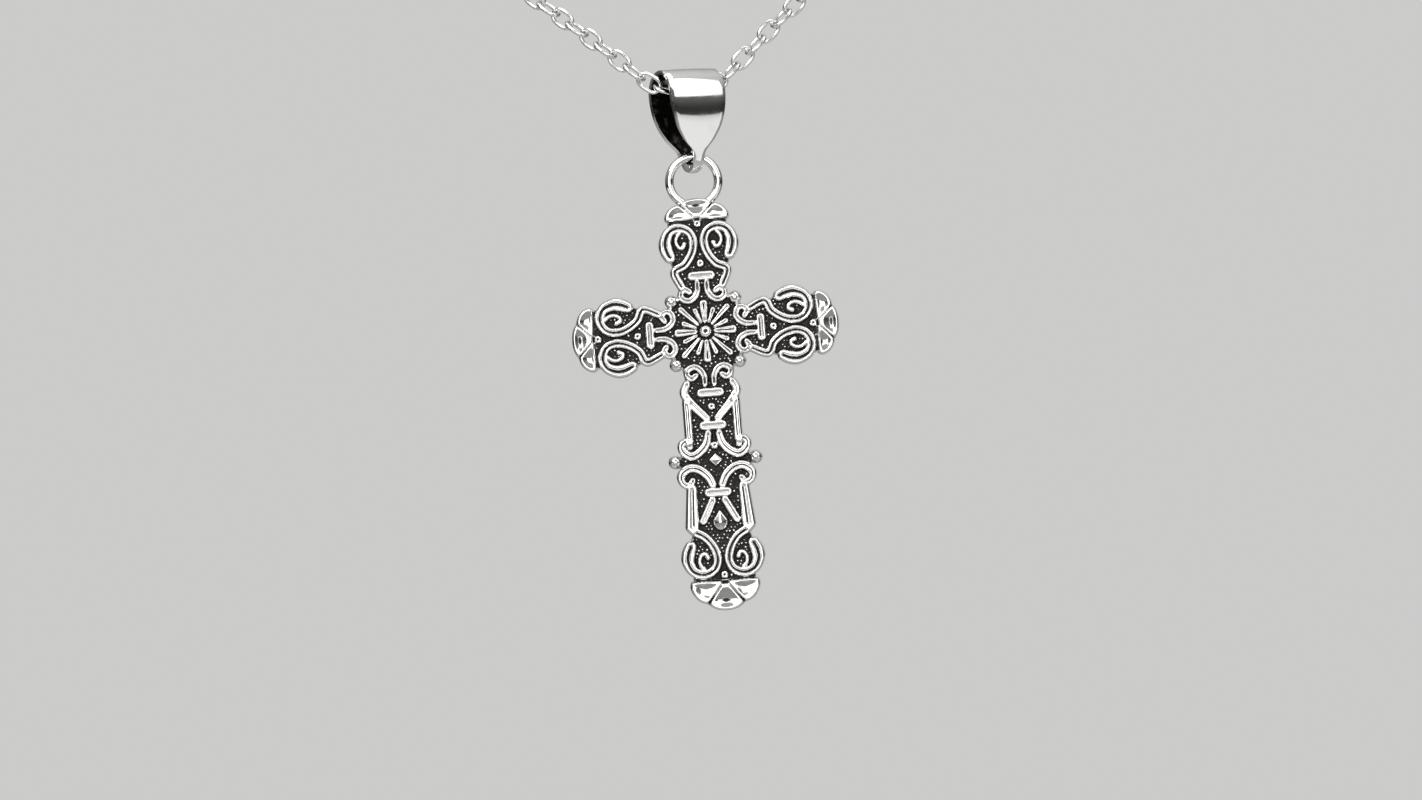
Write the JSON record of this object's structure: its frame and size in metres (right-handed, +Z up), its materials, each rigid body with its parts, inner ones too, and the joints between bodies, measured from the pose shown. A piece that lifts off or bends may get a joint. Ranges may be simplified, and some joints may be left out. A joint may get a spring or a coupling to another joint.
{
  "type": "cross pendant on a neck chain",
  "caption": "Flared cross with raised scrollwork, rosette and beads, hung by a soldered ring and a folded tapered bail on a round-wire cable chain.",
  "frame": {"origin": "where the chain lies on the nape, at the middle of the closing link; the pendant hangs in front and below", "axes": "+X to the viewer's right, -Y towards the viewer and out of the cross's face, +Z up"},
  "size_m": [0.1214, 0.1291, 0.1736],
  "materials": {
    "antiqued_silver": "cast silver, polished on the raised parts and blackened in the recesses",
    "polished_silver": "high polish",
    "chain_silver": "polished round wire"
  },
  "bodies": {
    "chain": {"chain_left": "chain_silver", "chain_right": "chain_silver", "clasp": "chain_silver"},
    "bail": {"bail": "polished_silver"},
    "cross": {"cross": "antiqued_silver"}
  },
  "joints": [
    {"name": "bail_swing", "type": "hinge", "parent": "chain", "child": "bail", "pos_m": [0, -0.124, -0.114], "axis": [0.8829, 0.4695, 0], "range_deg": [-60, 60]},
    {"name": "cross_swing", "type": "hinge", "parent": "bail", "child": "cross", "pos_m": [0, -0.124, -0.12122], "axis": [1, 0, 0], "range_deg": [-60, 60]}
  ]
}
